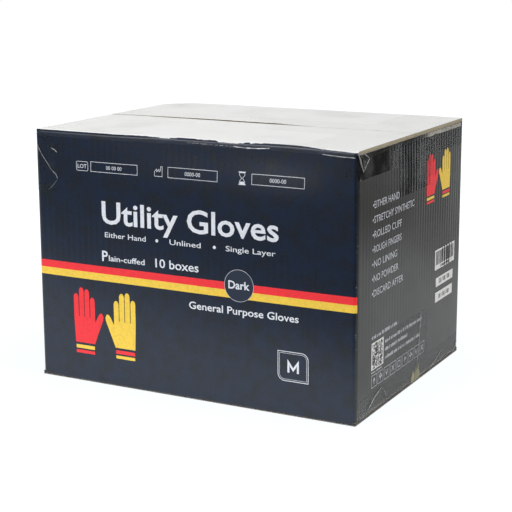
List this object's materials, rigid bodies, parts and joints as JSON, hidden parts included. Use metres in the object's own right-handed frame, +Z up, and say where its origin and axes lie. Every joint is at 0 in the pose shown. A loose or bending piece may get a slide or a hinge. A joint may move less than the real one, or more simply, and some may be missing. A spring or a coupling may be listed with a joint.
{
  "type": "glove shipping case",
  "caption": "Taped corrugated shipping case with hinged top flaps, packed with dispenser cartons of folded disposable gloves.",
  "frame": {"origin": "middle of the underside, on the face that the case stands on", "axes": "+X along the long walls, +Y from the printed front to the rear, +Z up through the top seam"},
  "size_m": [0.3204, 0.2502, 0.2323],
  "materials": {
    "printed_board": "satin",
    "flap_board": "matte",
    "kraft_board": "matte",
    "glue": "satin",
    "clear_tape": "gloss",
    "carton_board": "satin",
    "glove_rubber": "matte"
  },
  "bodies": {
    "case": {"bottom_front_flap": "flap_board", "bottom_left_edge_tape_front": "clear_tape", "bottom_left_edge_tape_rear": "clear_tape", "bottom_left_flap": "flap_board", "bottom_rear_flap": "flap_board", "bottom_right_edge_tape_front": "clear_tape", "bottom_right_edge_tape_rear": "clear_tape", "bottom_right_flap": "flap_board", "bottom_seam_tape": "clear_tape", "bottom_seam_tape_left_tab": "clear_tape", "bottom_seam_tape_right_tab": "clear_tape", "case_sleeve": "printed_board", "dispenser_carton_1": "carton_board", "dispenser_carton_10": "carton_board", "dispenser_carton_2": "carton_board", "dispenser_carton_3": "carton_board", "dispenser_carton_4": "carton_board", "dispenser_carton_5": "carton_board", "dispenser_carton_6": "carton_board", "dispenser_carton_7": "carton_board", "dispenser_carton_8": "carton_board", "dispenser_carton_9": "carton_board", "glove_stack_1": "glove_rubber", "glove_stack_10": "glove_rubber", "glove_stack_2": "glove_rubber", "glove_stack_3": "glove_rubber", "glove_stack_4": "glove_rubber", "glove_stack_5": "glove_rubber", "glove_stack_6": "glove_rubber", "glove_stack_7": "glove_rubber", "glove_stack_8": "glove_rubber", "glove_stack_9": "glove_rubber", "left_edge_tape_front_wall_part": "clear_tape", "left_edge_tape_rear_wall_part": "clear_tape", "right_edge_tape_front_wall_part": "clear_tape", "right_edge_tape_rear_wall_part": "clear_tape", "sleeve_joint_glue": "glue", "sleeve_joint_tab": "kraft_board", "tear_out_panel_1": "carton_board", "tear_out_panel_10": "carton_board", "tear_out_panel_2": "carton_board", "tear_out_panel_3": "carton_board", "tear_out_panel_4": "carton_board", "tear_out_panel_5": "carton_board", "tear_out_panel_6": "carton_board", "tear_out_panel_7": "carton_board", "tear_out_panel_8": "carton_board", "tear_out_panel_9": "carton_board", "top_seam_tape_left_tab": "clear_tape", "top_seam_tape_right_tab": "clear_tape"},
    "front_flap": {"top_front_flap": "flap_board", "top_seam_tape_front_half": "clear_tape", "left_edge_tape_front_flap_part": "clear_tape", "right_edge_tape_front_flap_part": "clear_tape"},
    "rear_flap": {"top_rear_flap": "flap_board", "top_seam_tape_rear_half": "clear_tape", "left_edge_tape_rear_flap_part": "clear_tape", "right_edge_tape_rear_flap_part": "clear_tape"},
    "left_flap": {"top_left_flap": "flap_board"},
    "right_flap": {"top_right_flap": "flap_board"}
  },
  "joints": [
    {"name": "top_front_flap_hinge", "type": "hinge", "parent": "case", "child": "front_flap", "pos_m": [0, -0.125, 0.23215], "axis": [1, 0, 0], "range_deg": [0, 260]},
    {"name": "top_rear_flap_hinge", "type": "hinge", "parent": "case", "child": "rear_flap", "pos_m": [0, 0.125, 0.23215], "axis": [-1, 0, 0], "range_deg": [0, 260]},
    {"name": "top_left_flap_hinge", "type": "hinge", "parent": "case", "child": "left_flap", "pos_m": [-0.16, 0, 0.22895], "axis": [0, -1, 0], "range_deg": [0, 87]},
    {"name": "top_right_flap_hinge", "type": "hinge", "parent": "case", "child": "right_flap", "pos_m": [0.16, 0, 0.22895], "axis": [0, 1, 0], "range_deg": [0, 87]}
  ],
  "couplings": [
    {"joint": "top_rear_flap_hinge", "follows": "top_front_flap_hinge", "ratio": 1},
    {"joint": "top_left_flap_hinge", "follows": "top_front_flap_hinge", "ratio": 0.33333},
    {"joint": "top_right_flap_hinge", "follows": "top_front_flap_hinge", "ratio": 0.33333}
  ]
}
